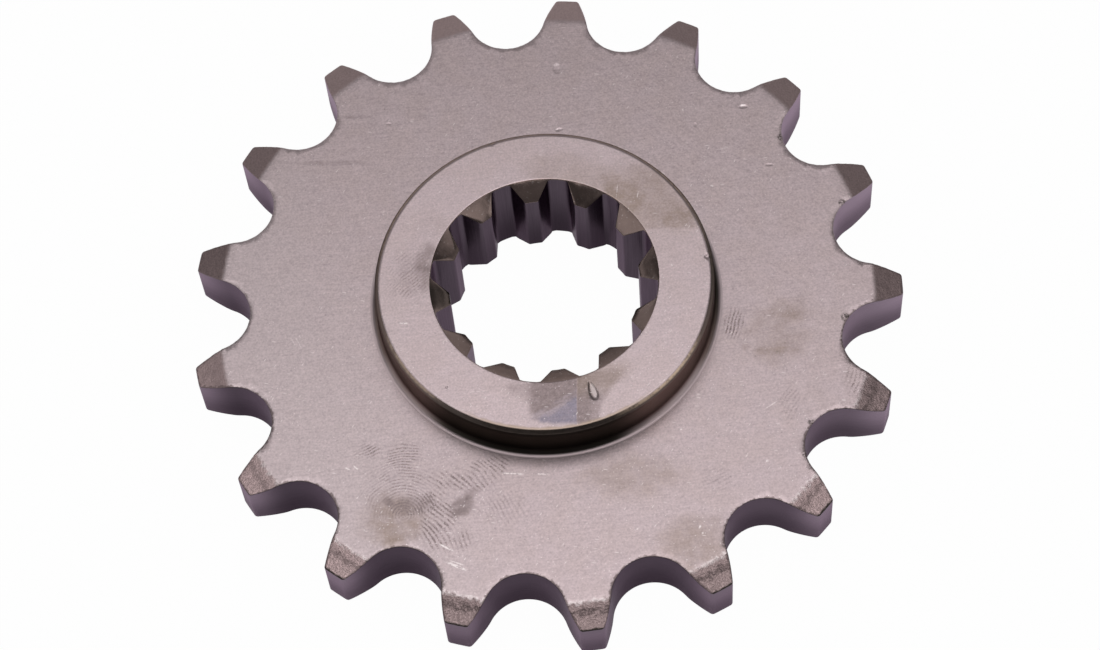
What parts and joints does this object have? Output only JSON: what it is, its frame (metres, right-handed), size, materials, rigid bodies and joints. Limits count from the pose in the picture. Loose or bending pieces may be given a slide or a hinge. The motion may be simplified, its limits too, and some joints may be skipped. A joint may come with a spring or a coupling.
{
  "type": "front sprocket",
  "caption": "One-piece steel drive sprocket: a flat toothed disc with bevelled tooth tips, a plain raised hub and a splined bore, for a roller chain on a gearbox output shaft.",
  "frame": {"origin": "on the axis of the bore, at the rear face", "axes": "+Z along the axis, out through the hub; +X through the middle of a tooth and of the spline groove behind it"},
  "size_m": [0.0906, 0.091, 0.0138],
  "materials": {
    "steel": "satin ground faces, darker cut walls, handled"
  },
  "bodies": {
    "root": {"sprocket": "steel"}
  },
  "joints": []
}
